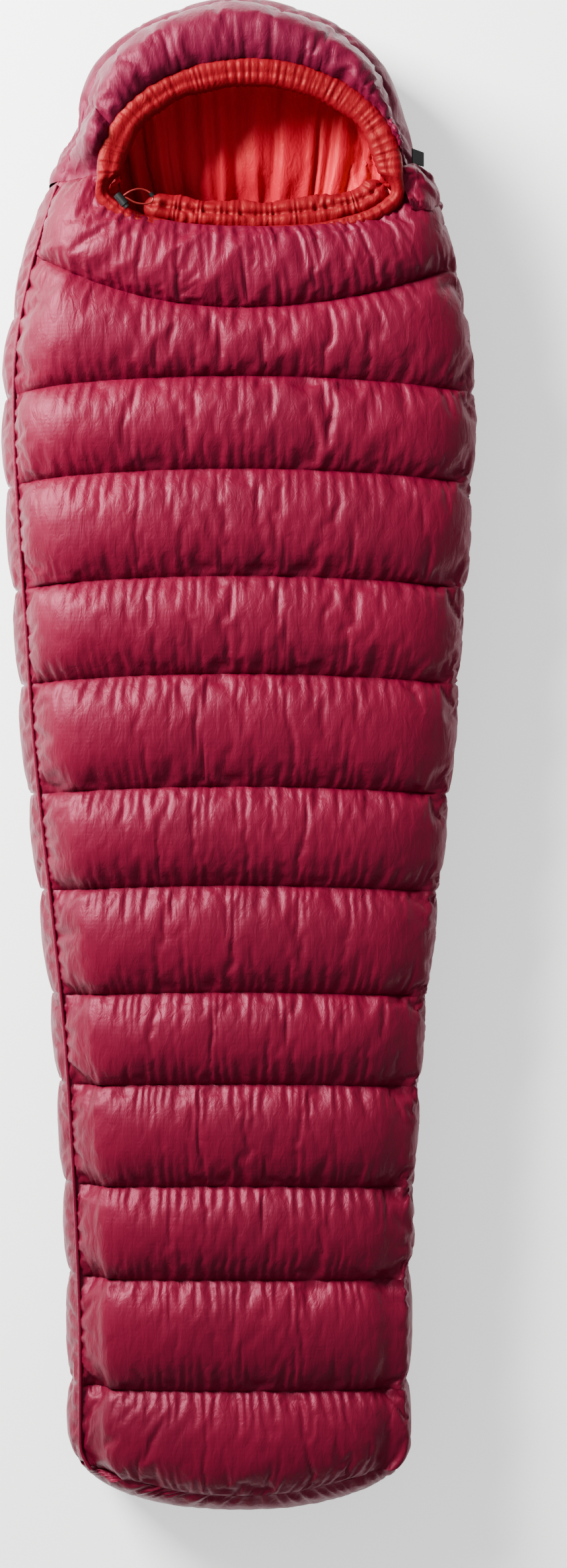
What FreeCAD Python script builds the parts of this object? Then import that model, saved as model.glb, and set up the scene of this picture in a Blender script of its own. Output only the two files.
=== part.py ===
"""Mummy sleeping bag, zipped shut and lying on its back on the floor. Millimetres.

+Y runs from the foot to the hood, +X to the wearer's left, where the zip is, and +Z up.
The origin is on the floor, under the middle of the bag.

Every quilted chamber is a thin fabric sleeve. Baffle walls close its two ends, and a
clump of down lies inside it.
"""
import FreeCAD
import Part
import math
import os

V = FreeCAD.Vector

# ---------------------------------------------------------------- driving dimensions
LENGTH = 2150.0  # outside, foot end to crown
HEIGHT = 196.0  # lofted thickness at the chest
FABRIC = 1.5  # wall of a sleeve: face fabric and its seam allowances
WALL_GAP = 0.6  # from the middle of a baffle wall to the sleeve beside it
BAFFLE = 0.8  # thickness of a baffle wall

# Stations of the cross seams, from the chest to the foot end.
SEAMS = [624, 527, 397, 247, 110, -48, -187, -337, -466, -610, -742, -899, -1047]

# Half the outside width at stations along the bag, from the foot to the crown.
OUTLINE = [
    (-1047, 192), (-1015, 222), (-977, 238), (-835, 242), (-600, 251), (-314, 270),
    (18, 306), (255, 323), (468, 336), (587, 331), (729, 303), (824, 268),
    (919, 228), (985, 201), (1042, 138), (1068, 78),
]
# Height of the top surface at stations along the bag.
CROWN_LINE = [
    (-1075, 128), (-1047, 150), (-977, 172), (-600, 182), (0, 190), (400, HEIGHT),
    (700, HEIGHT), (900, 206), (1000, 198), (1042, 172), (1068, 128),
]

SCALLOP_TOP = 13.0  # how far a seam pulls the top surface down
SCALLOP_SIDE = 5.0  # and the sides in
FRONT_Z = 112.0  # underside of the front layer
BACK_Z = 60.0  # top of the back layer
BASE_IN = 20.0  # from the outside of the bag to where a chamber's round side begins
LEFT_EDGE_Z = 111.0  # top of the side chambers on the seam side
RIGHT_EDGE_Z = 78.0  # and on the zip side, where the zip stands on them
SIDE_CHAMBER = 70.0  # width of a side chamber on the seam side
ZIP_SIDE_CHAMBER = 50.0  # least width of a side chamber on the zip side
SIDE_GAP = 1.2  # from a back chamber to the side chambers
DOWN_INSET = 16.0  # how far a down clump's packed core stays inside its sleeve

# The zip lies along one straight line: (x, y) of its two ends. Its tapes stand upright.
ZIP_FOOT = (242.0, -698.0)
ZIP_NECK = (270.0, 765.0)
ZIP_Z = 95.0
TAPE_END = 28.0  # tape left over past the chain's ends
TAPE_WIDTH = 16.0
TAPE_THICK = 0.8
COIL_WIDTH = 2.8
COIL_THICK = 2.4
COIL_GAP = 1.4  # between the two coils, for the slider's post
SLIDER_LENGTH = 16.0
SLIDER_PLATE = 1.2
SLIDER_CLEAR = 0.4  # from the plates to the coil and the tape
PULL_LENGTH = 32.0
UPPER_REST = 10.0  # from the neck end of the chain to the upper slider's middle
LOWER_REST = 10.0  # and from its foot end to the lower slider's
DRAFT_TUBE_R = 15.0
DRAFT_TUBE_BACK = 27.0  # from the zip to the draft tube's middle

# Face opening: an oval of six arcs, with the drawcord hem round it.
OPENING = (17.0, 812.0)
OPENING_HALF = 205.0
OPENING_TOP = 150.0
OPENING_TOP_R = 109.0
OPENING_BOTTOM = 71.0
OPENING_BOTTOM_R = 54.0
HEM_Z = 182.0
HEM_R = 7.0
HEM_CLEAR = 1.5  # from the hem to the chambers round it
CHANNEL_R = 3.5
DRAWCORD_R = 1.25

# Draft collar, just inside the lower lip of the opening.
COLLAR_R = 20.0
COLLAR_IN = 14.0  # from the hem's middle to the collar's, in plan
COLLAR_Z = 150.0
COLLAR_HALF = 150.0
COLLAR_CORD_R = 1.5

HOOD_Y = 815.0  # where the cheeks meet the yoke
CROWN_Y = 905.0  # where the crown chamber meets the cheeks

# Free loop of the drawcord, from the cord lock round and back to it.
LOOP_R = 1.25
LOOP_ROUTE = [
    (-159.1, 776.15, 196.0), (-153.1, 781.0, 194.8), (-147.0, 784.8, 191.4),
    (-139.6, 787.8, 186.6), (-131.5, 788.0, 181.8), (-123.0, 784.7, 179.2),
    (-118.6, 779.0, 177.8), (-119.3, 772.2, 178.6), (-124.6, 767.9, 182.2),
    (-132.6, 766.6, 187.0), (-141.2, 767.0, 190.4), (-147.8, 769.4, 193.2),
    (-152.8, 772.4, 195.2), (-157.3, 773.85, 196.0),
]
CORD_END_R = 3.3
CORD_END_HOLE = 2.0
CORD_END_LENGTH = 6.0

# Barrel cord lock, lying on the hem where the loop comes out.
LOCK_AT = V(-162.3, 771.0, 196.0)
LOCK_ANGLE = -51.0  # of the lock's axis, in plan
LOCK_R = 6.0
LOCK_LENGTH = 18.0
LOCK_BORE_R = 4.7
LOCK_FLOOR = 1.5
PLUNGER_R = 4.4
PLUNGER_LENGTH = 15.0
PLUNGER_OUT = 5.0  # how far the button stands out at rest
SPRING_R = 3.2
SPRING_WIRE_R = 0.25
SPRING_TURNS = 4

# Hook-and-loop tab on the hood's cheek, above the zip. It leans on the cheek's round side.
TAB_AT = V(253.8, 841.0, 146.3)
TAB_LEAN = 35.0  # of its outward face, above level
TAB_LENGTH = 30.0
TAB_WIDTH = 20.0
TAB_THICK = 1.6

NODES = {}


def keep(name, *solids):
    """Puts solids into the node of that name."""
    NODES.setdefault(name, []).extend(solids)


# ---------------------------------------------------------------- curves and sections
def along(table, y):
    """The table's value at y: a Catmull-Rom curve through its (y, value) rows."""
    rows = [table[0], *table, table[-1]]
    y = min(max(y, table[0][0]), table[-1][0])
    i = max(k for k in range(1, len(rows) - 2) if rows[k][0] <= y or k == 1)
    (ya, a), (yb, b), (yc, c), (yd, d) = rows[i - 1 : i + 3]
    t = (y - yb) / (yc - yb)
    rise_b = (c - a) / (yc - ya) * (yc - yb)
    rise_c = (d - b) / (yd - yb) * (yc - yb)
    square, cube = t * t, t * t * t
    return (
        (2 * cube - 3 * square + 1) * b
        + (cube - 2 * square + t) * rise_b
        + (3 * square - 2 * cube) * c
        + (cube - square) * rise_c
    )


def half_width(y):
    return along(OUTLINE, y)


def zip_x(y):
    (x0, y0), (x1, y1) = ZIP_FOOT, ZIP_NECK
    return x0 + (x1 - x0) * (y - y0) / (y1 - y0)


def has_zip(y):
    """Whether the chamber that starts at this seam lies beside the zip."""
    return y > ZIP_FOOT[1]


def cavity_left(y):
    return half_width(y) - SIDE_CHAMBER


def cavity_right(y):
    return min(zip_x(y) - 14.0, half_width(y) - ZIP_SIDE_CHAMBER)


def closed_wire(edges):
    return Part.Wire(Part.__sortEdges__([e.toShape() for e in edges]))


def arch(y, pull, inset, floor=FRONT_Z):
    """Cross-section of the front layer at y: flat below, arched above, with round sides.
    pull is 1 on a seam and 0 between seams."""
    w = half_width(y) - pull * SCALLOP_SIDE - inset
    top = along(CROWN_LINE, y) - pull * SCALLOP_TOP - inset
    edge = half_width(y) - BASE_IN - inset
    base = floor + inset
    shoulder = top - 0.3 * (top - base)
    side = base + 0.36 * (top - base)
    b_left, b_right = V(-edge, y, base), V(edge, y, base)
    s_left, s_right = V(30 - w, y, shoulder), V(w - 30, y, shoulder)
    return closed_wire([
        Part.LineSegment(b_left, b_right),
        Part.Arc(b_right, V(w, y, side), s_right),
        Part.Arc(s_right, V(0, y, top), s_left),
        Part.Arc(s_left, V(-w, y, side), b_left),
    ])


def side_section(y, sign, inner, top_z, inset):
    """Cross-section of a side chamber at y. sign is +1 on the zip side."""
    w = half_width(y) - inset
    low, high = inset, top_z - inset
    inside = inner + inset
    a = V(sign * inside, y, low)
    b = V(sign * inside, y, high)
    c = V(sign * (w - BASE_IN), y, high)
    d = V(sign * w, y, 0.5 * (low + high))
    e = V(sign * (w - 32), y, low)
    return closed_wire([
        Part.LineSegment(a, b), Part.LineSegment(b, c),
        Part.Arc(c, d, e), Part.LineSegment(e, a),
    ])


def loft(wires):
    return Part.makeLoft(wires, True, False)


def sleeve(section, y0, y1, open_by=1.0):
    """A fabric tube between two stations, open at both ends. section(y, pull, inset)."""
    middle = 0.5 * (y0 + y1)
    outer = loft([section(y0, 1, 0), section(middle, 0, 0), section(y1, 1, 0)])
    inner = loft([
        section(y0 + open_by, 1, FABRIC),
        section(middle, 0, FABRIC),
        section(y1 - open_by, 1, FABRIC),
    ])
    return outer.cut(inner)


def front_core_section(y, pull):
    """Cross-section of the packed down in the front layer."""
    e = half_width(y) - 60
    top = along(CROWN_LINE, y) - pull * SCALLOP_TOP
    low, high = FRONT_Z + DOWN_INSET, top - DOWN_INSET
    edge = top - 0.3 * (top - FRONT_Z) - DOWN_INSET
    return closed_wire([
        Part.LineSegment(V(-e, y, low), V(e, y, low)),
        Part.LineSegment(V(e, y, low), V(e, y, edge)),
        Part.Arc(V(e, y, edge), V(0, y, high), V(-e, y, edge)),
        Part.LineSegment(V(-e, y, edge), V(-e, y, low)),
    ])


def front_core(y0, y1):
    a, b = y0 - DOWN_INSET, y1 + DOWN_INSET
    middle = 0.5 * (a + b)
    return loft([front_core_section(a, 1), front_core_section(middle, 0), front_core_section(b, 1)])


def wall(section, y):
    face = Part.Face(section(y - BAFFLE / 2, 1, 0))
    return face.extrude(V(0, BAFFLE, 0))


def prism(points, z0, z1):
    """A block on a plan outline of (x, y) points."""
    ring = [V(x, y, z0) for x, y in points]
    return Part.Face(Part.makePolygon([*ring, ring[0]])).extrude(V(0, 0, z1 - z0))


def pad_plan(y0, y1, inset, open_by=0.0):
    """Plan of a back chamber between two stations."""
    inset += SIDE_GAP
    return [
        (-cavity_left(y0) + inset, y0 + open_by),
        (cavity_right(y0) - inset, y0 + open_by),
        (cavity_right(y1) - inset, y1 - open_by),
        (-cavity_left(y1) + inset, y1 - open_by),
    ]


# ---------------------------------------------------------------- body of the bag
def left_section(y, pull, inset):
    return side_section(y, -1, cavity_left(y) + WALL_GAP, LEFT_EDGE_Z, inset)


def zip_side_section(y, pull, inset):
    return side_section(y, 1, cavity_right(y) + WALL_GAP, RIGHT_EDGE_Z, inset)


def plain_right_section(y, pull, inset):
    return side_section(y, 1, cavity_right(y) + WALL_GAP, LEFT_EDGE_Z, inset)


def make_front_layer():
    for number, (top, bottom) in enumerate(zip(SEAMS, SEAMS[1:]), 1):
        y0, y1 = top - WALL_GAP, bottom + WALL_GAP
        keep(f"front_chamber_{number:02d}", sleeve(arch, y0, y1))
        keep("front_down_fill", front_core(y0, y1))
    keep("baffle_walls", *[wall(arch, y) for y in SEAMS])


def make_back_layer():
    inset = DOWN_INSET
    for number, (top, bottom) in enumerate(zip(SEAMS, SEAMS[1:]), 1):
        y0, y1 = top - WALL_GAP, bottom + WALL_GAP
        outer = prism(pad_plan(y0, y1, 0), 0, BACK_Z)
        inner = prism(pad_plan(y0, y1, FABRIC, 1.0), FABRIC, BACK_Z - FABRIC)
        keep(f"back_chamber_{number:02d}", outer.cut(inner))
        core = prism(pad_plan(y0, y1, inset, -inset), inset, BACK_Z - inset)
        keep("back_down_fill", core)
        keep("left_side_chambers", sleeve(left_section, y0, y1))
        right_section = zip_side_section if has_zip(top) else plain_right_section
        keep("right_side_chambers", sleeve(right_section, y0, y1))
    half = BAFFLE / 2
    for y in SEAMS:
        keep("baffle_walls", prism(pad_plan(y + half, y - half, 0), 0, BACK_Z))


def make_neck_sides():
    """The side chambers go on past the chest seam, up to the hood's cheeks."""
    y0, y1 = HOOD_Y - WALL_GAP, SEAMS[0] + WALL_GAP
    keep("left_side_chambers", sleeve(left_section, y0, y1))
    keep("right_side_chambers", sleeve(zip_side_section, y0, y1))


def make_body_liner():
    """Lining over the wearer and under them: two flat sheets that face each other."""
    thick = 0.8
    stations = [SEAMS[0], 247, -187, -610, -1040]
    edge = 8.0
    outline = [(-cavity_left(y) + edge, y) for y in stations]
    outline += [(cavity_right(y) - edge, y) for y in reversed(stations)]
    keep("body_liner", prism(outline, FRONT_Z - 0.3 - thick, FRONT_Z - 0.3))
    keep("body_liner", prism(outline, BACK_Z + 0.3, BACK_Z + 0.3 + thick))


def make_foot_end():
    """The foot end's padded panel: a lens in plan, rounded from top to bottom."""
    y0, y1 = SEAMS[-1] - WALL_GAP - 0.4, -LENGTH / 2
    w = half_width(SEAMS[-1]) - 6
    plan = closed_wire([
        Part.LineSegment(V(-w, y0, 0), V(w, y0, 0)),
        Part.Arc(V(w, y0, 0), V(0, y1, 0), V(-w, y0, 0)),
    ])
    top = along(CROWN_LINE, SEAMS[-1]) - SCALLOP_TOP
    side = closed_wire([
        Part.LineSegment(V(-w, y0, 0), V(-w, y0, top)),
        Part.LineSegment(V(-w, y0, 0), V(-w, y0 - 6, 0)),
        Part.Arc(V(-w, y0 - 6, 0), V(-w, y1, top * 0.5), V(-w, y0 - 4, top)),
        Part.LineSegment(V(-w, y0 - 4, top), V(-w, y0, top)),
    ])
    block = Part.Face(plan).extrude(V(0, 0, top))
    keep("foot_end_panel", block.common(Part.Face(side).extrude(V(2 * w, 0, 0))))


def make_seam_binding():
    """Binding tape over the long seam on the side away from the zip."""
    stations = [600, 400, 200, 0, -250, -500, -750, -990]
    out, thick, low, high = 3.5, 1.2, 111.3, 111.9
    outline = [(BASE_IN - half_width(y) - out, y) for y in stations]
    outline += [(BASE_IN - half_width(y) - out + thick + 2, y) for y in reversed(stations)]
    keep("side_seam_binding", prism(outline, low, high))


# ---------------------------------------------------------------- hood and face opening
def oval(z, grow=0.0):
    """The face opening's outline: an upper and a lower half of three arcs each."""
    cx, cy = OPENING
    a = OPENING_HALF + grow

    def half(b, r, sign):
        drop = ((a - r) ** 2 - (b - r) ** 2) / (2 * (b - r))
        big = b + drop
        lean = math.atan2(a - r, drop)
        tip = V(cx, cy + sign * b, z)
        ends = []
        for side in (1, -1):
            joint = V(cx + side * big * math.sin(lean), cy + sign * (big * math.cos(lean) - drop), z)
            turn = (math.pi / 2 - lean) / 2
            middle = V(cx + side * (a - r + r * math.cos(turn)), cy + sign * r * math.sin(turn), z)
            ends.append((V(cx + side * a, cy, z), middle, joint))
        (p0, p1, p2), (q0, q1, q2) = ends
        return [Part.Arc(p0, p1, p2), Part.Arc(p2, tip, q2), Part.Arc(q2, q1, q0)]

    upper = half(OPENING_TOP + grow, OPENING_TOP_R + grow, 1)
    lower = half(OPENING_BOTTOM + grow, OPENING_BOTTOM_R + grow, -1)
    return closed_wire(upper + lower)


def hood_envelope(floor):
    """The hood's and yoke's outer form above a level, before the face opening."""
    stations = [SEAMS[0] + WALL_GAP, 729, HOOD_Y, 919, 985, 1042, 1068]
    wires = [arch(y, 0, 0, floor) for y in stations]
    return loft(wires)


def slab(y0, y1, x0=-400.0, x1=400.0):
    return Part.makeBox(x1 - x0, y1 - y0, 400, V(x0, y0, -50))


def make_hood():
    hole = Part.Face(oval(0, HEM_R + HEM_CLEAR)).extrude(V(0, 0, 400))
    over_neck = hood_envelope(FRONT_Z).cut(hole)
    over_head = hood_envelope(BACK_Z + 2.4).cut(hole)
    keep("yoke_chamber", over_neck.common(slab(SEAMS[0], HOOD_Y - 0.5)))
    keep("hood_cheeks", over_head.common(slab(HOOD_Y + 0.5, CROWN_Y - 0.5)))
    keep("hood_crown_chamber", over_head.common(slab(CROWN_Y + 0.5, 1068)))


def hood_block(inset):
    """The padded back of the hood, from the cheeks to the crown."""
    stations = [HOOD_Y, 862, 919, 985, 1042]
    tip = LENGTH / 2 - inset
    z = inset
    right = [V(half_width(y) - inset, y, z) for y in stations]
    left = [V(-v.x, v.y, z) for v in reversed(right)]
    curve = Part.BSplineCurve()
    curve.interpolate([*right, V(0, tip, z), *left])
    plan = closed_wire([curve, Part.LineSegment(left[-1], right[0])])
    return Part.Face(plan).extrude(V(0, 0, BACK_Z - 2 * inset)).common(slab(HOOD_Y + 0.5 + inset, 1100))


def make_hood_back():
    """The padded backs of the neck and hood, and the down in them."""
    y0, y1 = HOOD_Y - 0.5, SEAMS[0] + WALL_GAP
    outer = prism(pad_plan(y0, y1, 0), 0, BACK_Z)
    inner = prism(pad_plan(y0, y1, FABRIC, 1.0), FABRIC, BACK_Z - FABRIC)
    keep("neck_back_chamber", outer.cut(inner))
    keep("hood_back_chamber", hood_block(0).cut(hood_block(FABRIC)))
    inset = DOWN_INSET
    keep("hood_down_fill", prism(pad_plan(y0, y1, inset, -inset), inset, BACK_Z - inset))
    keep("hood_down_fill", hood_block(inset))


def make_hood_liner():
    """Lining: a ring round the face opening, and a sheet under the head and neck."""
    low, high, thick = BACK_Z + 2.7, HEM_Z - HEM_R - 1, 0.8
    outside = HEM_R + HEM_CLEAR - 0.3
    ring = Part.Face(oval(low, outside)).cut(Part.Face(oval(low, outside - thick)))
    ring = ring.extrude(V(0, 0, high - low))
    neck_passage = Part.makeBox(800, 200, FRONT_Z - low + 2, V(-400, HOOD_Y - 200, low - 2))
    keep("hood_liner", ring.cut(neck_passage))
    sheet = [(-190, 626), (190, 626), (190, 905), (150, 990), (-120, 990), (-175, 905)]
    keep("hood_liner", prism(sheet, BACK_Z + 0.3, BACK_Z + 0.3 + thick))


def tube(wire, radius, start, direction):
    circle = Part.Wire(Part.makeCircle(radius, start, direction))
    return wire.makePipeShell([circle], True, True)


def make_hem():
    path = oval(HEM_Z)
    first = path.OrderedEdges[0]
    start = first.valueAt(first.FirstParameter)
    direction = first.tangentAt(first.FirstParameter)
    channel = tube(path, CHANNEL_R, start, direction)
    keep("hood_hem", tube(path, HEM_R, start, direction).cut(channel))
    keep("hood_drawcord", tube(path, DRAWCORD_R, start, direction))


def make_collar():
    """Draft collar: a puffy tube that follows the opening's lower lip, with a cord in it."""
    (cx, cy), b, r = OPENING, OPENING_BOTTOM - COLLAR_IN, OPENING_BOTTOM_R - COLLAR_IN
    a = OPENING_HALF - COLLAR_IN
    drop = ((a - r) ** 2 - (b - r) ** 2) / (2 * (b - r))

    def at(dx):
        return V(cx + dx, cy + drop - math.sqrt((b + drop) ** 2 - dx * dx), COLLAR_Z)

    path = Part.Wire(Part.Arc(at(-COLLAR_HALF), at(0), at(COLLAR_HALF)).toShape())
    direction = path.Edges[0].tangentAt(path.Edges[0].FirstParameter)
    channel = tube(path, COLLAR_CORD_R + 0.8, at(-COLLAR_HALF), direction)
    keep("draft_collar", tube(path, COLLAR_R, at(-COLLAR_HALF), direction).cut(channel))
    keep("collar_cord", tube(path, COLLAR_CORD_R, at(-COLLAR_HALF), direction))


# ---------------------------------------------------------------- zip
ZIP_RUN = math.dist(ZIP_FOOT, ZIP_NECK)
ZIP_TURN = math.degrees(math.atan2(ZIP_NECK[0] - ZIP_FOOT[0], ZIP_NECK[1] - ZIP_FOOT[1]))


def on_zip(shape):
    """Moves a shape from the zip's own frame: X outwards, Y from its foot to its neck end."""
    shape.rotate(V(0, 0, 0), V(0, 0, 1), -ZIP_TURN)
    shape.translate(V(*ZIP_FOOT, ZIP_Z))
    return shape


def box(x0, x1, y0, y1, z0, z1):
    return Part.makeBox(x1 - x0, y1 - y0, z1 - z0, V(x0, y0, z0))


def make_zip():
    half_gap, half_tape = COIL_GAP / 2, TAPE_THICK / 2
    for side in (1, -1):
        def strip(x0, x1, y0, y1, z0, z1):
            low, high = sorted((side * z0, side * z1))
            return on_zip(box(x0, x1, y0, y1, low, high))

        outer = half_tape + COIL_THICK
        keep("zip_tapes", strip(-half_tape, half_tape, -TAPE_END, ZIP_RUN + TAPE_END,
                                half_gap, half_gap + TAPE_WIDTH))
        keep("zip_coils", strip(half_tape, outer, 0, ZIP_RUN, half_gap, half_gap + COIL_WIDTH))
        for start in (-4.0, ZIP_RUN):
            keep("zip_end_stops", strip(half_tape, outer + 0.8, start, start + 4,
                                        half_gap, half_gap + COIL_WIDTH + 0.6))
    keep("anti_snag_strip", on_zip(box(-6.4, -5.6, 0, ZIP_RUN, -9, 9)))
    keep("zip_garage_flap", on_zip(box(5.5, 7.5, ZIP_RUN + 2, ZIP_RUN + 40, -13, 13)))
    rod = Part.makeCylinder(DRAFT_TUBE_R, ZIP_RUN, V(-DRAFT_TUBE_BACK, 0, 0), V(0, 1, 0))
    keep("draft_tube", on_zip(rod))


def slider_body(nose):
    """A slider round the chain, its wide end towards nose (+1 is the neck)."""
    half = SLIDER_LENGTH / 2
    out0 = TAPE_THICK / 2 + COIL_THICK + SLIDER_CLEAR
    out1 = out0 + SLIDER_PLATE
    in1 = -TAPE_THICK / 2 - SLIDER_CLEAR
    in0 = in1 - SLIDER_PLATE
    lip = COIL_GAP / 2 + COIL_WIDTH + SLIDER_CLEAR

    def plate(x0, x1, grow=0.0):
        wide, slim = lip + 2.2 + grow, lip + 1.2 + grow
        plan = [(-half * nose, slim), (half * nose, wide), (half * nose, -wide), (-half * nose, -slim)]
        ring = [V(x0, y, z) for y, z in plan]
        return Part.Face(Part.makePolygon([*ring, ring[0]])).extrude(V(x1 - x0, 0, 0))

    shape = plate(out0, out1).fuse(plate(in0, in1))
    for side in (1, -1):
        z0, z1 = sorted((side * lip, side * (lip + 1.2)))
        shape = shape.fuse(box(TAPE_THICK / 2 + SLIDER_CLEAR, out1, -half, half, z0, z1))
    post = half * nose
    y0, y1 = sorted((post, post - 3.0 * nose))
    shape = shape.fuse(box(in0, out1, y0, y1, -0.4, 0.4))
    for y in (-5.5, 4.0):
        shape = shape.fuse(box(out1, out1 + 3.6, y, y + 1.5, -1.0, 1.0))
    return shape.fuse(box(out1 + 2.6, out1 + 3.6, -5.5, 5.5, -1.0, 1.0)).removeSplitter()


def pull_pivot():
    """Height of the pull's cross bar over the zip's middle."""
    return TAPE_THICK / 2 + COIL_THICK + SLIDER_CLEAR + SLIDER_PLATE + 1.3


def slider_pull():
    """A pull lying towards the foot, its cross bar under the slider's bridge."""
    x = pull_pivot()
    thin = 0.5
    bar = Part.makeCylinder(0.8, 7.0, V(x, 0, -3.5), V(0, 0, 1))
    plate = box(x - thin, x + thin, -PULL_LENGTH, 0.0, -3.5, 3.5)
    window = box(x - 2, x + 2, -8.0, 8.0, -2.2, 2.2)
    slot = box(x - 2, x + 2, -PULL_LENGTH + 3, -PULL_LENGTH + 9, -1.6, 1.6)
    return plate.cut(window).cut(slot).fuse(bar)


def make_sliders():
    for name, nose, y in (("upper", 1, ZIP_RUN - UPPER_REST), ("lower", -1, LOWER_REST)):
        for part, shape in (("body", slider_body(nose)), ("pull", slider_pull())):
            shape.translate(V(0, y, 0))
            keep(f"{name}_slider_{part}", on_zip(shape))
        pivot = on_zip(Part.Vertex(V(pull_pivot(), y, 0))).Point
        print(f"{name} pull pivot {pivot.x:.3f} {pivot.y:.3f} {pivot.z:.3f}")
    along_zip = on_zip(Part.Vertex(V(0, 1, 0))).Point - V(*ZIP_FOOT, ZIP_Z)
    print(f"zip runs {ZIP_RUN:.3f} along {along_zip.x:.6f} {along_zip.y:.6f}")


# ---------------------------------------------------------------- cord, cord lock and tab
def rounded(route):
    """Straight runs joined by tangent arcs, each as large as its two runs allow."""
    points = [V(*p) for p in route]
    edges, at, radii = [], points[0], []
    for a, b, c in zip(points, points[1:], points[2:]):
        back, on = (a - b).normalize(), (c - b).normalize()
        half_turn = (math.pi - back.getAngle(on)) / 2
        cut = 0.45 * min((a - b).Length, (c - b).Length)
        radius = cut / math.tan(half_turn)
        start, end = b + back * cut, b + on * cut
        inward = (back + on).normalize()
        middle = b + inward * (radius / math.cos(half_turn) - radius)
        edges += [Part.LineSegment(at, start).toShape(), Part.Arc(start, middle, end).toShape()]
        at = end
        radii.append(radius)
    edges.append(Part.LineSegment(at, points[-1]).toShape())
    return Part.Wire(edges), radii


def make_loop():
    path, radii = rounded(LOOP_ROUTE)
    cord = tube(path, LOOP_R, path.Edges[0].valueAt(0), path.Edges[0].tangentAt(0))
    keep("drawcord_loop", cord)
    print("loop radii", " ".join(f"{r:.1f}" for r in radii), f"length {path.Length:.1f}")
    print(f"loop volume {cord.Volume:.1f}, section times length {math.pi * LOOP_R**2 * path.Length:.1f}")
    a, b = V(*LOOP_ROUTE[5]), V(*LOOP_ROUTE[6])
    aim = (b - a).normalize()
    start = (a + b) * 0.5 - aim * (CORD_END_LENGTH / 2)
    bead = Part.makeCylinder(CORD_END_R, CORD_END_LENGTH, start, aim)
    keep("cord_end", bead.cut(Part.makeCylinder(CORD_END_HOLE, CORD_END_LENGTH, start, aim)))


def on_lock(shape):
    """Moves a shape from the lock's own frame: X along its axis, towards the button."""
    shape.rotate(V(0, 0, 0), V(0, 0, 1), LOCK_ANGLE)
    shape.translate(LOCK_AT)
    return shape


def make_cord_lock():
    half = LOCK_LENGTH / 2
    floor = -half + LOCK_FLOOR
    along_x = V(1, 0, 0)
    barrel = Part.makeCylinder(LOCK_R, LOCK_LENGTH, V(-half, 0, 0), along_x)
    barrel = barrel.cut(Part.makeCylinder(LOCK_BORE_R, LOCK_LENGTH, V(floor, 0, 0), along_x))
    slot = box(-3.9, 3.9, -10, 10, -1.7, 1.7)
    keep("cord_lock_barrel", on_lock(barrel.cut(slot)))
    inner_end = half + PLUNGER_OUT - PLUNGER_LENGTH
    button = Part.makeCylinder(PLUNGER_R, PLUNGER_LENGTH, V(inner_end, 0, 0), along_x)
    keep("cord_lock_plunger", on_lock(button))
    room = inner_end - floor - 2 * SPRING_WIRE_R - 0.2
    helix = Part.makeHelix(room / SPRING_TURNS, room, SPRING_R)
    wire = tube(Part.Wire(helix.Edges), SPRING_WIRE_R, V(SPRING_R, 0, 0), V(0, 1, 0))
    wire.rotate(V(0, 0, 0), V(0, 1, 0), 90)
    wire.translate(V(floor + SPRING_WIRE_R + 0.1, 0, 0))
    keep("cord_lock_spring", on_lock(wire))


def lean(shape):
    """Moves a shape from the tab's own frame: X outwards from the cheek, Z up along it."""
    shape.rotate(V(0, 0, 0), V(0, 1, 0), -TAB_LEAN)
    shape.translate(TAB_AT)
    return shape


def make_tab():
    t, w, h = TAB_THICK / 2, TAB_WIDTH / 2, TAB_LENGTH / 2
    keep("hook_tab", lean(box(-t, t, -w, w, -h, h)))
    keep("loop_patch", lean(box(-t - 0.9, -t - 0.3, -w, w, -h + 4, h - 12)))
    hinge = lean(Part.Vertex(V(0, 0, h))).Point
    print(f"tab hinge {hinge.x:.3f} {hinge.y:.3f} {hinge.z:.3f}")


for make in (make_front_layer, make_back_layer, make_neck_sides, make_body_liner,
             make_foot_end, make_seam_binding, make_hood, make_hood_back, make_hood_liner,
             make_hem, make_collar, make_zip, make_sliders, make_loop, make_cord_lock, make_tab):
    make()

os.makedirs("parts", exist_ok=True)
total = 0.0
for name, solids in sorted(NODES.items()):
    flat = [s for shape in solids for s in shape.Solids]
    shape = flat[0] if len(flat) == 1 else Part.makeCompound(flat)
    total += shape.Volume
    b = shape.BoundBox
    print(f"{name:22s} {len(flat):3d} {shape.isValid()} {shape.Volume / 1e6:9.3f} l  "
          f"x {b.XMin:.1f} {b.XMax:.1f} y {b.YMin:.1f} {b.YMax:.1f} z {b.ZMin:.1f} {b.ZMax:.1f}")
    shape.exportStep(f"parts/{name}.step")
print(f"{len(NODES)} nodes, total volume {total / 1e9:.4f} m3")
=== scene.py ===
import math

import bpy
import numpy as np
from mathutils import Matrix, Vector, noise


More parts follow.
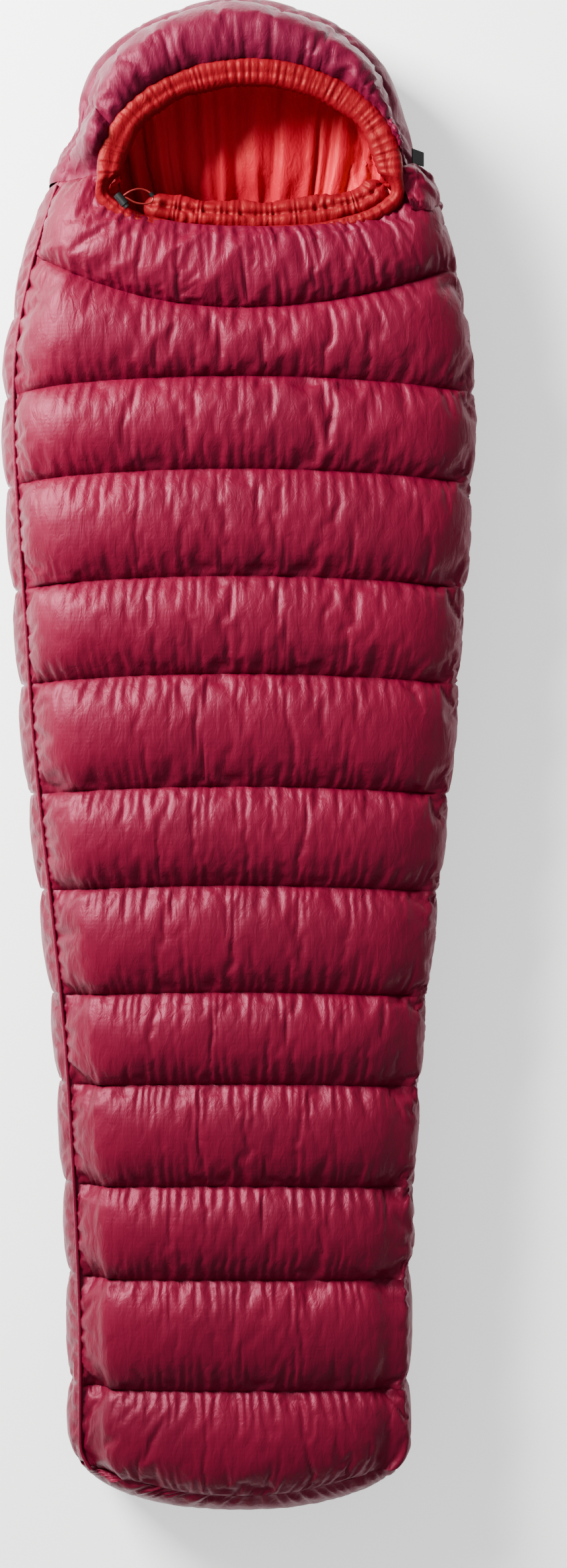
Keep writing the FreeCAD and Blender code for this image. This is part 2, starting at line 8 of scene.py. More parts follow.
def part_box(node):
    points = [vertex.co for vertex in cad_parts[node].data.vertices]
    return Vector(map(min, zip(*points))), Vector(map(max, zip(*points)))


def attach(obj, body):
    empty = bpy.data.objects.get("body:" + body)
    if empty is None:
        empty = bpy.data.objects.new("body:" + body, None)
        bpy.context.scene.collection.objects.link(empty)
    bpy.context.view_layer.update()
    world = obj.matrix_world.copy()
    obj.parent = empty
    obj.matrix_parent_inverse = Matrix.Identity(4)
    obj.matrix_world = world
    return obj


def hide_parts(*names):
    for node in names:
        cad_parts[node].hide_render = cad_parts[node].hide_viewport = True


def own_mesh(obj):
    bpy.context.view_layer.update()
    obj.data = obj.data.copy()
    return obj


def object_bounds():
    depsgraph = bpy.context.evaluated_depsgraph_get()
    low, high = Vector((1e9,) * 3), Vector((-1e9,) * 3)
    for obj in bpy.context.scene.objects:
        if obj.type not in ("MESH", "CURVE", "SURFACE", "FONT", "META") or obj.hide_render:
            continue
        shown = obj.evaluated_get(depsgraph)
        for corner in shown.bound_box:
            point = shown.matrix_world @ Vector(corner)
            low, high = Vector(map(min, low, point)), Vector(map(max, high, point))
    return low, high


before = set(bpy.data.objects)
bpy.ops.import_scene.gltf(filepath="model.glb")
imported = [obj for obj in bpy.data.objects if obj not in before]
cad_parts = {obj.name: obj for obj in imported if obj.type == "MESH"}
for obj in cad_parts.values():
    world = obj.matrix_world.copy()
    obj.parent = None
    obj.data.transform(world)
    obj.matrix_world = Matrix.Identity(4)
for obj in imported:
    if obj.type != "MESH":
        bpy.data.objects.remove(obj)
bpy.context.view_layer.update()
noise.seed_set(11)  # noise_vector draws on this: the cloth's ruffles repeat on every run

# A mummy sleeping bag lying on its back. Metres; +Y to the hood, +X to the zip side, +Z up.

MM = 0.001
MESH = 5.0 * MM  # spacing of the fabric grids
SEAM_DEPTH = 14.0 * MM  # how far a cross seam lies below the chambers beside it
SEAM_IN = 5.0 * MM  # how far it pulls the outline in
EDGE_IN = 19.0 * MM  # from the outline to the long seam
EDGE_Z = 128.0 * MM  # height of the long seam
CHAMBERS = 12

# ------------------------------------------------------------------ camera and light
CAMERA_AT = (0.064, -0.044, 3.9)
LENS_MM = 61.0

# The drawcord's free loop, from the cord lock round and back to it, in millimetres.
LOOP_ROUTE = [
    (-159.1, 776.15, 196.0), (-153.1, 781.0, 194.8), (-147.0, 784.8, 191.4),
    (-139.6, 787.8, 186.6), (-131.5, 788.0, 181.8), (-123.0, 784.7, 179.2),
    (-118.6, 779.0, 177.8), (-119.3, 772.2, 178.6), (-124.6, 767.9, 182.2),
    (-132.6, 766.6, 187.0), (-141.2, 767.0, 190.4), (-147.8, 769.4, 193.2),
    (-152.8, 772.4, 195.2), (-157.3, 773.85, 196.0),
]
LOOP_DIAMETER = 0.0025
LOCK_ANGLE = math.radians(-51)  # of the cord lock's axis, in plan
SPRING_R = 3.2 * MM
SPRING_WIRE_R = 0.25 * MM
SPRING_LENGTH = 5.8 * MM
SPRING_TURNS = 4


def make_camera():
    data = bpy.data.cameras.new("camera")
    data.lens = LENS_MM
    data.sensor_width = 36.0
    data.clip_end = 50.0
    camera = bpy.data.objects.new("camera", data)
    camera.location = CAMERA_AT
    bpy.context.scene.collection.objects.link(camera)
    bpy.context.scene.camera = camera


def area_light(name, at, aim, size, power, colour):
    """A softbox that faces the point aim."""
    data = bpy.data.lights.new(name, "AREA")
    data.shape = "RECTANGLE"
    data.size, data.size_y = size
    data.energy = power
    data.color = colour
    lamp = bpy.data.objects.new(name, data)
    lamp.location = at
    lamp.rotation_euler = (Vector(aim) - Vector(at)).to_track_quat("-Z", "Y").to_euler()
    bpy.context.scene.collection.objects.link(lamp)


def make_lights():
    """A large soft window of light beyond the hood, on the side away from the zip."""
    area_light("key", (-2.4, 2.1, 1.9), (0, 0.3, 0), (1.5, 1.5), 800, (1.0, 0.985, 0.97))
    area_light("fill", (1.6, -1.0, 3.2), (0, 0, 0), (3.0, 3.0), 12, (0.97, 0.98, 1.0))
    world = bpy.data.worlds.new("studio")
    bpy.context.scene.world = world
    world.use_nodes = True
    world.node_tree.nodes["Background"].inputs["Color"].default_value = (1, 1, 1, 1)
    world.node_tree.nodes["Background"].inputs["Strength"].default_value = 0.55


# ------------------------------------------------------------------ materials
def linear(hex_colour):
    """An sRGB hex value as a linear RGBA colour."""
    parts = [int(hex_colour[i : i + 2], 16) / 255 for i in (0, 2, 4)]
    return [c / 12.92 if c <= 0.04045 else ((c + 0.055) / 1.055) ** 2.4 for c in parts] + [1.0]


def add(tree, kind, settings=None, **links):
    """Adds a shader node, with its properties, input values and input links."""
    node = tree.nodes.new(kind)
    for key, value in (settings or {}).items():
        if isinstance(key, str) and hasattr(node, key):
            setattr(node, key, value)
        else:
            node.inputs[key].default_value = value
    for key, source in links.items():
        tree.links.new(source, node.inputs[int(key[1:]) if key[0] == "_" else key])
    return node


def new_material(name, **finish):
    """A material, its node tree and its shader, with the shader's own constants set."""
    material = bpy.data.materials.new(name)
    material.use_nodes = True
    shader = material.node_tree.nodes["Principled BSDF"]
    for key, value in finish.items():
        shader.inputs[key.replace("_", " ")].default_value = value
    return material, material.node_tree, shader


def fabric(name, light, dark, thread_mm, roughness, crease=0.6, **finish):
    """Woven nylon: two close tones that drift over the cloth, a fine weave and soft creases."""
    material, tree, shader = new_material(name, **finish)
    where = add(tree, "ShaderNodeTexCoord").outputs["Object"]
    drift = add(tree, "ShaderNodeTexNoise", {"Scale": 9.0, "Detail": 3.0}, Vector=where)
    tone = add(tree, "ShaderNodeMix", {"data_type": "RGBA", 6: linear(light), 7: linear(dark)},
               Factor=drift.outputs["Fac"])
    tree.links.new(tone.outputs[2], shader.inputs["Base Color"])
    per_metre = 1000.0 / thread_mm
    warp = add(tree, "ShaderNodeTexWave", {"Scale": per_metre / 20, "bands_direction": "X"}, Vector=where)
    weft = add(tree, "ShaderNodeTexWave", {"Scale": per_metre / 20, "bands_direction": "Y"}, Vector=where)
    weave = add(tree, "ShaderNodeMath", {"operation": "ADD"},
                _0=warp.outputs["Fac"], _1=weft.outputs["Fac"])
    drawn = add(tree, "ShaderNodeMapping", {"Scale": (1.0, 0.34, 1.0), "Rotation": (0, 0, 0.12)},
                Vector=where)
    creasing = {"Scale": 85.0, "Detail": 5.0, "Roughness": 0.55, "Distortion": 0.6}
    fine = add(tree, "ShaderNodeTexNoise", creasing, Vector=drawn.outputs["Vector"])
    soft = add(tree, "ShaderNodeBump", {"Strength": crease, "Distance": 0.004}, Height=fine.outputs["Fac"])
    bump = add(tree, "ShaderNodeBump", {"Strength": 0.12, "Distance": 0.0002},
               Height=weave.outputs[0], Normal=soft.outputs["Normal"])
    tree.links.new(bump.outputs["Normal"], shader.inputs["Normal"])
    uneven = add(tree, "ShaderNodeMapRange", {"To Min": roughness - 0.05, "To Max": roughness + 0.07},
                 Value=fine.outputs["Fac"])
    tree.links.new(uneven.outputs["Result"], shader.inputs["Roughness"])
    return material


def plain(name, light, dark, grain_mm, roughness, spread=0.08, bumps=0.0002, **finish):
    """A solid finish: two close tones in a fine grain, and a roughness that varies a little."""
    material, tree, shader = new_material(name, **finish)
    where = add(tree, "ShaderNodeTexCoord").outputs["Object"]
    grain = add(tree, "ShaderNodeTexNoise", {"Scale": 1000.0 / grain_mm, "Detail": 4.0}, Vector=where)
    tone = add(tree, "ShaderNodeMix", {"data_type": "RGBA", 6: linear(light), 7: linear(dark)},
               Factor=grain.outputs["Fac"])
    tree.links.new(tone.outputs[2], shader.inputs["Base Color"])
    uneven = add(tree, "ShaderNodeMapRange", {"To Min": roughness - spread, "To Max": roughness + spread},
                 Value=grain.outputs["Fac"])
    tree.links.new(uneven.outputs["Result"], shader.inputs["Roughness"])
    bump = add(tree, "ShaderNodeBump", {"Strength": 0.3, "Distance": bumps}, Height=grain.outputs["Fac"])
    tree.links.new(bump.outputs["Normal"], shader.inputs["Normal"])
    return material


# Calendered ripstop nylon: pressed flat and shiny on its face, so its gloss is satin and tinted.
SHELL = fabric("calendered_shell_nylon", "5A031E", "440216", 0.9, 0.45, 0.45, Specular_IOR_Level=0.34,
               Specular_Tint=linear("FF8FB0"))
# The hood's coated nylon: a plummer, slightly duller face.
HOOD = fabric("coated_hood_nylon", "560522", "410319", 0.9, 0.47, 0.45, Specular_IOR_Level=0.32,
              Specular_Tint=linear("FF8FB0"))
# Soft dyed lining: red, with a softer gloss than the shell. Its colour is brighter than the cloth's own as
# painted light, standing in for light that the shaded inside of the hood lacks.
LINING_PAINTED_LIGHT = fabric("lining_nylon_painted_light", "C2102E", "A60A24", 0.8, 0.44, 0.6, Specular_IOR_Level=0.4,
                Specular_Tint=linear("FF7A60"))
# The same nylon, doubled over for the hem and collar. Its colour is darker than the lining's as painted
# shade, to take back the stronger light that falls on the hem.
HEM_PAINTED_SHADE = fabric("hem_nylon_painted_shade", "6A0514", "54030C", 0.8, 0.48, 0.5, Specular_IOR_Level=0.3,
             Specular_Tint=linear("FF7A60"))
# Baffle net: thin pale mesh, matt.
NET = plain("baffle_net", "B9A7AB", "8F7B80", 1.2, 0.85)
# Down: pale grey plumes, quite matt.
DOWN = plain("goose_down", "D9D4CC", "B4ADA3", 4.0, 0.95, 0.04, 0.001)
# Woven polyester tape of the zip and the seam bindings: matt, with a fine rib.
TAPE = plain("woven_tape", "30061A", "1C030C", 0.8, 0.7, Specular_IOR_Level=0.15)
# Moulded nylon coil: smooth, slightly waxy teeth.
COIL = plain("nylon_coil", "2A0410", "160208", 1.4, 0.4, Specular_IOR_Level=0.3)
# Braided red cord: matt, with the bumps of its strands.
CORD = plain("braided_cord", "8E0A06", "5C0403", 1.1, 0.6, 0.08, 0.0004)
# Elastic cord with a polyester cover.
ELASTIC = plain("elastic_cord", "8E1712", "5E0B08", 0.9, 0.65)
# Moulded acetal: black, smooth, with the soft gloss of a tool-finished face.
ACETAL = plain("moulded_acetal", "0C0C0C", "060606", 0.6, 0.42, 0.06, 0.00005, Specular_IOR_Level=0.35)
# Spring steel: bright drawn wire.
STEEL = plain("spring_steel", "B8BABC", "8E9092", 0.4, 0.3, 0.05, 0.00002, Metallic=1.0)
# Hook tape: black, matt, full of small hooks.
HOOKS = plain("hook_tape", "0B0B0B", "050505", 0.9, 0.8, 0.08, 0.0006, Specular_IOR_Level=0.2)
# Enamelled zinc sliders: black enamel, glossy where it is rubbed.
ENAMEL = plain("enamelled_zinc", "0E0B0C", "060505", 0.5, 0.28, 0.08, 0.00004)
FINISHES = {
    "shell_nylon": SHELL, "hood_nylon": HOOD, "lining_nylon": LINING_PAINTED_LIGHT,
    "baffle_mesh": NET, "goose_down": DOWN, "woven_tape": TAPE, "nylon_coil": COIL,
    "red_cord": CORD, "elastic_cord": ELASTIC, "moulded_acetal": ACETAL,
    "spring_steel": STEEL, "black_hook_tape": HOOKS, "enamelled_zinc": ENAMEL,
}
# The studio floor's matt white paint, with a faint glow that keeps it pale.
PAPER = new_material("painted_studio_floor", Roughness=0.9, Base_Color=linear("F8F8F8"),
                     Emission_Color=(1, 1, 1, 1), Emission_Strength=0.75)[0]


# ------------------------------------------------------------------ outline and sections
def curve_through(rows, at):
    """A smooth curve through (place, value) rows, read at one or more places."""
    xs, ys = np.array(rows, float).T
    at = np.clip(at, xs[0], xs[-1])
    slopes = np.gradient(ys, xs)
    i = np.clip(np.searchsorted(xs, at, side="right") - 1, 0, len(xs) - 2)
    run = xs[i + 1] - xs[i]
    t = (at - xs[i]) / run
    return (
        (1 + 2 * t) * (1 - t) ** 2 * ys[i]
        + t * (1 - t) ** 2 * run * slopes[i]
        + t * t * (3 - 2 * t) * ys[i + 1]
        + t * t * (t - 1) * run * slopes[i + 1]
    )


def chamber(k):
    return f"front_chamber_{k:02d}"


BOXES = [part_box(chamber(k)) for k in range(1, CHAMBERS + 1)]
YOKE, CHEEKS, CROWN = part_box("yoke_chamber"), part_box("hood_cheeks"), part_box("hood_crown_chamber")
LOW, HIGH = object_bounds()
SEAMS = [BOXES[0][1].y] + [low.y for low, high in BOXES]

widths = [((low.y + high.y) / 2, high.x) for low, high in BOXES]
widths += [(YOKE[0].y, YOKE[1].x), (CHEEKS[0].y, CHEEKS[1].x), (CROWN[0].y, CROWN[1].x)]
heights = [((low.y + high.y) / 2, high.z) for low, high in BOXES]
heights += [(YOKE[0].y + 0.05, YOKE[1].z), (CHEEKS[1].y, CHEEKS[1].z)]
WIDTHS, HEIGHTS = sorted(widths), sorted(heights)
HEM_LOW, HEM_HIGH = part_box("hood_hem")
HEM_R = (HEM_HIGH.z - HEM_LOW.z) / 2
HEM_TOP = HEM_HIGH.z
OPEN_X = (HEM_LOW.x + HEM_HIGH.x) / 2
OPEN_Y = CHEEKS[0].y - 0.0035
OPEN_HALF = (HEM_HIGH.x - HEM_LOW.x) / 2 - HEM_R
OPEN_TOP = HEM_HIGH.y - HEM_R - OPEN_Y
OPEN_BOTTOM = OPEN_Y - HEM_LOW.y - HEM_R
TAPES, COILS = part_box("zip_tapes"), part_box("zip_coils")
GARAGE_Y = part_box("upper_slider_body")[1].y + 0.004  # above this the zip is closed in by fabric
ZIP_FOOT = (COILS[0].x + 0.001, COILS[0].y)
ZIP_NECK = (COILS[1].x - 0.003, COILS[1].y)
ZIP_END = SEAMS[10]  # the seam below which the zip has ended
ZIP_OPENS, ZIP_CLOSES = 0.040, 0.022  # lengths over which its recess opens and closes
FOOT_CORNER = -0.973  # where the outline starts to round towards the foot end
FOOT_SQUARE = 2.3  # how square the foot's outline is: 2 is an ellipse
# The crown's outline: shares of its height, and of its half width squared.
HOOD_ROUND = [(0, 1), (0.45, 0.743), (0.77, 0.350), (0.915, 0.112), (0.985, 0.017), (1, 0)]


def half_width(y):
    """Half the bag's width at y, from the middle line to its outline."""
    if y > CROWN[0].y:
        share = (y - CROWN[0].y) / (HIGH.y + 0.001 - CROWN[0].y)
        return CROWN[1].x * math.sqrt(max(0.0, float(curve_through(HOOD_ROUND, share))))
    w = float(curve_through(WIDTHS, y))
    if y < FOOT_CORNER:
        share = min(1.0, (FOOT_CORNER - y) / (FOOT_CORNER - LOW.y))
        w *= (1 - share**FOOT_SQUARE) ** (1 / FOOT_SQUARE)
    return w


def top_height(y):
    """Height of the front's crest at y."""
    return float(curve_through(HEIGHTS, y))


def zip_x(y):
    """Where the straight zip runs at y."""
    (x0, y0), (x1, y1) = ZIP_FOOT, ZIP_NECK
    return x0 + (x1 - x0) * (y - y0) / (y1 - y0)


def smooth(t):
    """An even step from 0 to 1."""
    t = min(1.0, max(0.0, t))
    return t * t * (3 - 2 * t)


def resample(points, n):
    """n points, evenly spaced along a smooth curve through the given ones."""
    points = np.array(points, float)
    padded = np.vstack([2 * points[0] - points[1], points, 2 * points[-1] - points[-2]])
    t = np.linspace(0, 1, 9)[:-1, None]
    dense = []
    for a, b, c, d in zip(padded, padded[1:], padded[2:], padded[3:]):
        dense.append(0.5 * (2 * b + (c - a) * t + (2 * a - 5 * b + 4 * c - d) * t**2
                            + (3 * b - a - 3 * c + d) * t**3))
    dense = np.vstack([*dense, points[-1:]])
    reach = np.concatenate([[0], np.cumsum(np.linalg.norm(np.diff(dense, axis=0), axis=1))])
    at = np.linspace(0, reach[-1], n)
    return np.column_stack([np.interp(at, reach, dense[:, i]) for i in range(dense.shape[1])])


def zip_side_edge(y, upper):
    """Where the fabric ends on the zip side: at the zip's tape, or below it at the long seam."""
    zipped = smooth((y - ZIP_END) / ZIP_OPENS) * (1 - smooth((y - GARAGE_Y) / ZIP_CLOSES))
    w = half_width(y)
    at_zip = np.array([zip_x(y) + 0.0012, TAPES[1].z if upper else TAPES[0].z])
    at_seam = np.array([w - EDGE_IN, EDGE_Z])
    return zipped * at_zip + (1 - zipped) * at_seam


def front_section(y, fall):
    """Cross-section of the front layer from the zip over the top to the long seam."""
    w = half_width(y) - SEAM_IN * fall
    top = top_height(y) - SEAM_DEPTH * fall
    start = zip_side_edge(y, True)
    depth = w - start[0]
    points = [start]
    if depth > 0.026:
        points.append((start[0] + 0.5 * (depth - 0.012), start[1] - 0.002))
        points.append((w - 0.012, 0.113))
    points += [
        (w - 0.002, 0.134), (w - 0.008, 0.153), (w - 0.034, top - 0.022), (0.74 * w, top - 0.0095),
        (0.40 * w, top - 0.0020), (0, top), (-0.40 * w, top - 0.0020), (-0.72 * w, top - 0.0100),
        (0.050 - w, top - 0.027), (0.030 - w, top - 0.043), (EDGE_IN - half_width(y), EDGE_Z),
    ]
    return points


def side_section(y, fall, sign):
    """Cross-section of a side layer from its upper edge round to the underside."""
    w = half_width(y) - SEAM_IN * fall
    points = [(half_width(y) - EDGE_IN, EDGE_Z)]
    if sign > 0:
        points = [zip_side_edge(y, False)]
        depth = w - points[0][0]
        if depth > 0.026:
            points.append((points[0][0] + 0.5 * (depth - 0.012), points[0][1] + 0.003))
            points.append((w - 0.010, 0.079))
    if points[-1][1] > 0.11:
        points.append((w - 0.005, 0.106))
    points += [(w, 0.068), (w - 0.003, 0.036), (w - 0.016, 0.011), (w - 0.036, 0.0015),
               (w - 0.072, 0.001)]
    return [(sign * x, z) for x, z in points]


def swell(v):
    """0 on a seam and 1 halfway between two."""
    return (1 - abs(2 * v - 1) ** 2.2) ** 0.62


COLUMNS = 185  # points across the front layer, from the zip to the long seam
FOOT_RISE = 0.034  # how far the last seam curves up at the sides
SEAM_DROP = 0.018  # how far the first chamber's seam falls at the sides
YOKE_RISE = {-1: 0.083, 1: 0.055}  # how far the yoke seam curves up, on the left and at the zip
STATIONS = np.linspace(SEAMS[-1], CHEEKS[0].y, 380)
FRONT = np.array([[resample(front_section(y, fall), COLUMNS) for y in STATIONS] for fall in (0, 1)])


def front_at(y, j, fall):
    """(x, z) of the front layer's column j at y: 0 on its full form, 1 sunk to a seam."""
    place = (y - STATIONS[0]) / (STATIONS[1] - STATIONS[0])
    i = min(max(int(place), 0), len(STATIONS) - 2)
    full, sunk = FRONT[:, i, j] + (place - i) * (FRONT[:, i + 1, j] - FRONT[:, i, j])
    return full * (1 - fall) + sunk * fall


def seam_drop(k):
    """How far cross seam k falls towards the foot at the sides: most at the shoulders."""
    return SEAM_DROP * (1 - (k - 1) / (CHAMBERS - 2)) if 0 < k < CHAMBERS else 0.0


def seam_y(k, j):
    """Where cross seam k runs at column j: the yoke's and the foot's curve up at the sides."""
    y = SEAMS[k]
    x = front_at(y, j, 1)[0]
    side = min(1.0, abs(x) / (half_width(y) - EDGE_IN))
    if k == 0:
        y += YOKE_RISE[-1 if x < 0 else 1] * side**2
    if k == CHAMBERS:
        y += FOOT_RISE * side**2.4
    return y - seam_drop(k) * side**2


SEAM_LINES = np.array([[seam_y(k, j) for j in range(COLUMNS)] for k in range(CHAMBERS + 1)])


# ------------------------------------------------------------------ meshes and cloth
def from_axis(rows):
    """Directions away from the bag's middle line, for each point."""
    away = np.array(rows, float) - (0, 0, 0.09)
    away[..., 1] -= np.clip(away[..., 1], -0.95, 0.85)
    return away


def grid_object(name, rows, material, outward=None):
    """A mesh on a grid of points, rows by columns, with its faces turned outward."""
    rows = np.asarray(rows, float)
    normal = np.cross(np.gradient(rows, axis=1), np.gradient(rows, axis=0))
    if (normal * (from_axis(rows) if outward is None else outward)).sum() < 0:
        rows = rows[:, ::-1]
    n, m = rows.shape[:2]
    index = np.arange(n * m).reshape(n, m)
    faces = np.stack([index[:-1, :-1], index[:-1, 1:], index[1:, 1:], index[1:, :-1]], -1).reshape(-1, 4)
    mesh = bpy.data.meshes.new(name)
    mesh.from_pydata(rows.reshape(-1, 3).tolist(), [], faces.tolist())
    mesh.polygons.foreach_set("use_smooth", [True] * len(mesh.polygons))
    mesh.materials.append(material)
    obj = bpy.data.objects.new(name, mesh)
    bpy.context.scene.collection.objects.link(obj)
    return obj


def ruffle(rows, amount, seed):
    """Small uneven moves along Z and Y, so that the cloth has something to fold from."""
    rows = np.array(rows, float)
    for point in rows.reshape(-1, 3):
        shake = noise.noise_vector(Vector(point) * 60 + Vector((seed, 0, 0)))
        point += np.array(shake) * amount
    return rows


def gather(at, spacing, seed):
    """Uneven ridges along a gathered edge, between -1 and 1."""
    drift = noise.noise(Vector((at / (spacing * 2.6), seed, 0.0)))
    size = 0.62 + 1.1 * noise.noise(Vector((at / (spacing * 2.3), seed + 9.0, 4.0)))
    return max(0.12, size) * math.sin(2 * math.pi * at / spacing + 7.5 * drift)


def lengths(points):
    """Distance along a line of points, from its start."""
    steps = np.linalg.norm(np.diff(np.asarray(points, float), axis=0), axis=1)
    return np.concatenate([[0], np.cumsum(steps)])


def puckered(rows, size, spacing, seed, reach=0.028, edges=(0, -1)):
    """Raises short uneven ridges square to the first and last rows, fading away from them."""
    rows = np.array(rows, float)
    normal = np.cross(np.gradient(rows, axis=1), np.gradient(rows, axis=0))
    normal /= np.maximum(np.linalg.norm(normal, axis=2, keepdims=True), 1e-9)
    moved = rows.copy()
    for edge in edges:
        row = rows[edge]
        wave = np.array([gather(at, spacing, seed - 3.7 * edge) for at in lengths(row)])
        away = np.linalg.norm(rows - row[None], axis=2)
        fade = (1 - np.exp(-away / 0.005)) * np.exp(-away / reach)
        moved += normal * (size * wave[None, :] * fade)[:, :, None]
    return moved


GROUND_GAP = 0.0002  # the lowest a piece of cloth may lie
CLOTHS = []  # (object, pinned vertex indices, excess, pressure, cap)


def as_cloth(obj, pinned, excess, pressure=3.0, cap=0.014):
    """Marks a mesh to be filled and loosened by the cloth simulation, all together, later."""
    CLOTHS.append((obj, pinned, excess, pressure, cap))


def simulate(frames=22):
    """Runs the cloth of every marked piece at once and keeps its shape, within each piece's cap."""
    for obj, pinned, excess, pressure, cap in CLOTHS:
        group = obj.vertex_groups.new(name="pinned")
        group.add([int(i) for i in pinned], 1.0, "REPLACE")
        modifier = obj.modifiers.new("Cloth", "CLOTH")
        cloth = modifier.settings
        cloth.quality = 6
        cloth.mass = 0.12
        cloth.tension_stiffness = cloth.compression_stiffness = 12
        cloth.shear_stiffness = 4
        cloth.bending_stiffness = 0.05
        cloth.air_damping = 2
        cloth.vertex_group_mass = "pinned"
        cloth.shrink_min = -excess
        cloth.use_pressure = True
        cloth.uniform_pressure_force = pressure
        cloth.effector_weights.gravity = 0
        modifier.collision_settings.use_collision = False
        modifier.collision_settings.use_self_collision = False
    scene = bpy.context.scene
    for step in range(1, frames + 1):
        scene.frame_set(step)
    depsgraph = bpy.context.evaluated_depsgraph_get()
    for obj, pinned, excess, pressure, cap in CLOTHS:
        count = len(obj.data.vertices) * 3
        before, after = np.zeros(count), np.zeros(count)
        obj.data.vertices.foreach_get("co", before)
        obj.evaluated_get(depsgraph).data.vertices.foreach_get("co", after)
        move = (after - before).reshape(-1, 3)
        far = np.linalg.norm(move, axis=1, keepdims=True)
        move *= np.tanh(far / cap) * cap / np.maximum(far, 1e-9)
        place = before.reshape(-1, 3) + move
        place[:, 2] = np.maximum(place[:, 2], GROUND_GAP)
        obj.data.vertices.foreach_set("co", place.ravel())
        obj.modifiers.clear()
        obj.vertex_groups.clear()
        obj.data.update()
    scene.frame_set(1)


def border(n, m, rows=(), columns=()):
    """Vertex indices of a grid's four edges, and of the given rows and columns."""
    index = np.arange(n * m).reshape(n, m)
    picked = [index[0], index[-1], index[:, 0], index[:, -1]]
    picked += [index[r] for r in rows] + [index[:, c] for c in columns]
    return sorted(set(np.concatenate(picked).tolist()))


def make_front_chambers():
    """The twelve quilted panels of the front, each pinned to the seams on both sides of it."""
    for k in range(1, CHAMBERS + 1):
        n = int(round((SEAMS[k - 1] - SEAMS[k]) / MESH)) + 1
        rows = np.zeros((n, COLUMNS, 3))
        for i, v in enumerate(np.linspace(0, 1, n)):
            fall = 1 - swell(v)
            for j in range(COLUMNS):
                y = SEAM_LINES[k - 1, j] * (1 - v) + SEAM_LINES[k, j] * v
                x, z = front_at(y, j, fall)
                rows[i, j] = x, y, z
        rows = puckered(rows, 0.0024, 0.016, k, 0.017)
        obj = grid_object(f"front_panel_{k:02d}", ruffle(rows, 0.0006, k), SHELL)
        as_cloth(obj, border(n, COLUMNS), 0.058)
        panel(obj, [chamber(k)])


def make_side_chambers(sign, node, name):
    """One side of the bag below its long seam: a single strip, pinned at each cross seam."""
    rows, pins = [], []
    m = int(round(0.20 / MESH)) + 1
    seams = [y - seam_drop(k) for k, y in enumerate(SEAMS[:-1])]
    stations = [OPEN_Y, *seams, SEAMS[-1] + FOOT_RISE]
    for k, (y0, y1) in enumerate(zip(stations, stations[1:])):
        n = int(round((y0 - y1) / MESH)) + 1
        for v in np.linspace(0, 1, n)[1 if k else 0:]:
            y = y0 + (y1 - y0) * v
            section = resample(side_section(y, 1 - swell(v), sign), m)
            if v in (0, 1):
                pins.append(len(rows))
            rows.append([(x, y, z) for x, z in section])
    rows = ruffle(rows, 0.0007, 40 + sign)
    obj = grid_object(name, rows, SHELL)
    as_cloth(obj, border(len(rows), m, rows=pins), 0.05, cap=0.010)
    panel(obj, [node])


def panel(obj, nodes, body="bag"):
    """Puts a padded piece of fabric on its body, and hides the CAD nodes that it stands for."""
    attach(obj, body)
    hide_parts(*nodes)


# ------------------------------------------------------------------ hood
SEAM_TURN = math.radians(157)  # where the left side seam of the hood meets the opening
SEAM_TURN_RIGHT = math.radians(25)  # and the one on the zip side
TAB_TURN = math.radians(11)  # the tab's place beside the opening, where the cheek is drawn in
TAB_DENT = 0.006  # how far it is drawn in
TAB_SPREAD = 0.12  # over what angle
LIP_POWER = 0.87  # how round the opening's lower half is: 1 is an ellipse
FOOT_POWER = 0.87  # the same for the foot panel's outline


def on_opening(turn, grow=0.0):
    """A point on the face opening's edge at an angle from +X, and the direction out of it there."""
    c, s = math.cos(turn), math.sin(turn)
    half, power = (OPEN_TOP, 1.0) if s >= 0 else (OPEN_BOTTOM, LIP_POWER)
    x = OPEN_HALF * math.copysign(abs(c) ** power, c)
    y = half * math.copysign(abs(s) ** power, s)
    rate = 2 / power - 1
    nx = math.copysign(abs(x / OPEN_HALF) ** rate / OPEN_HALF, c)
    ny = math.copysign(abs(y / half) ** rate / half, s)
    size = math.hypot(nx, ny)
    nx, ny = nx / size, ny / size
    return OPEN_X + x + nx * grow, OPEN_Y + y + ny * grow, nx, ny


def even_turns(start, end, step, grow=0.0):
    """Angles whose points on the opening's edge are a step apart."""
    turns = np.linspace(start, end, 400)
    points = np.array([on_opening(t, grow)[:2] for t in turns])
    reach = np.concatenate([[0], np.cumsum(np.linalg.norm(np.diff(points, axis=0), axis=1))])
    n = int(round(reach[-1] / step)) + 1
    return np.interp(np.linspace(0, reach[-1], n), reach, turns)


def to_outline(x, y, dx, dy):
    """How far the bag's outline is from a point in a direction."""
    near, far = 0.0, 0.5
    for _ in range(24):
        middle = (near + far) / 2
        if abs(x + dx * middle) < half_width(y + dy * middle):
            near = middle
        else:
            far = middle
    return near


def hood_ray(turn):
    """Start, direction and length of the line from the opening's edge out to the outline."""
    x, y, nx, ny = on_opening(turn, 0.004)
    ny += 0.62 * smooth(math.sin(turn) / 0.5)
    size = math.hypot(nx, ny)
    nx, ny = nx / size, ny / size
    dent = TAB_DENT * math.exp(-(((turn - TAB_TURN) / TAB_SPREAD) ** 2))
    return x, y, nx, ny, to_outline(x, y, nx, ny) - dent


def seam_band(turn):
    """How far in from the outline the hood's back seam runs."""
    return 0.019 - 0.003 * max(0.0, math.sin(turn))


